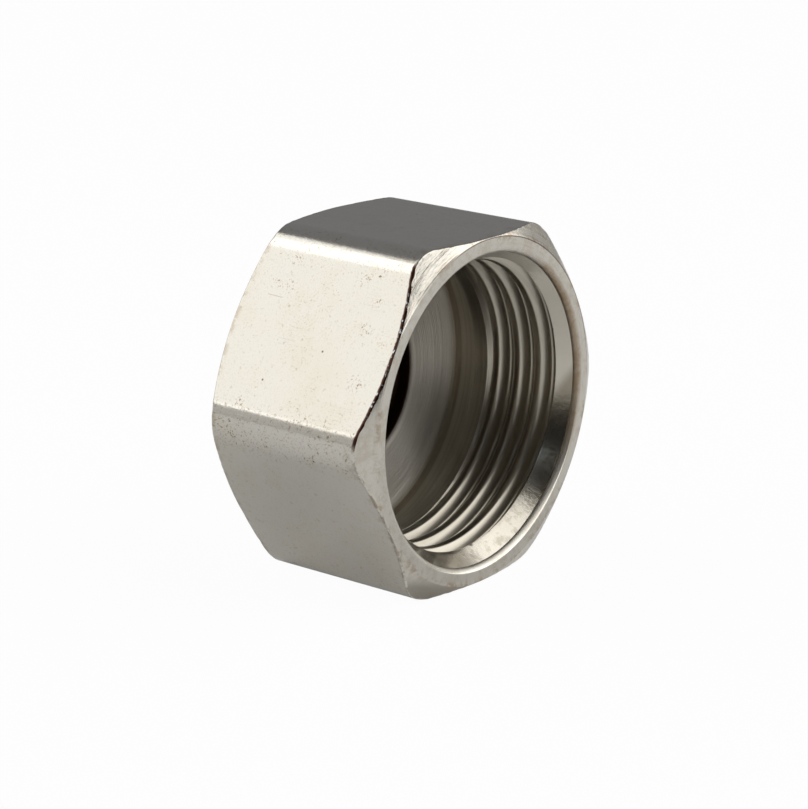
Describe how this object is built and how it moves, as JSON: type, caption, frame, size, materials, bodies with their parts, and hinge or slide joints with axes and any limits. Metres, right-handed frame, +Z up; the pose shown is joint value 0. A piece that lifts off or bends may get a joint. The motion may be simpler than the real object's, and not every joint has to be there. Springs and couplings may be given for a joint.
{
  "type": "threaded protection cap",
  "caption": "Hexagonal nickel-plated brass cap with an internal fine metric thread, screwed over the threaded end of a fitting to close and protect it.",
  "frame": {"origin": "on the surface the cap lies on, under the middle of its lower flat", "axes": "+X along the thread axis, out of the mouth; +Z up; +Y across two corners of the hexagon"},
  "size_m": [0.0114, 0.0224, 0.02],
  "materials": {
    "nickel_plate": "satin nickel plate over brass, fine turning marks, brown tarnish along the cut edges"
  },
  "bodies": {
    "root": {"cap_body": "nickel_plate"}
  },
  "joints": []
}
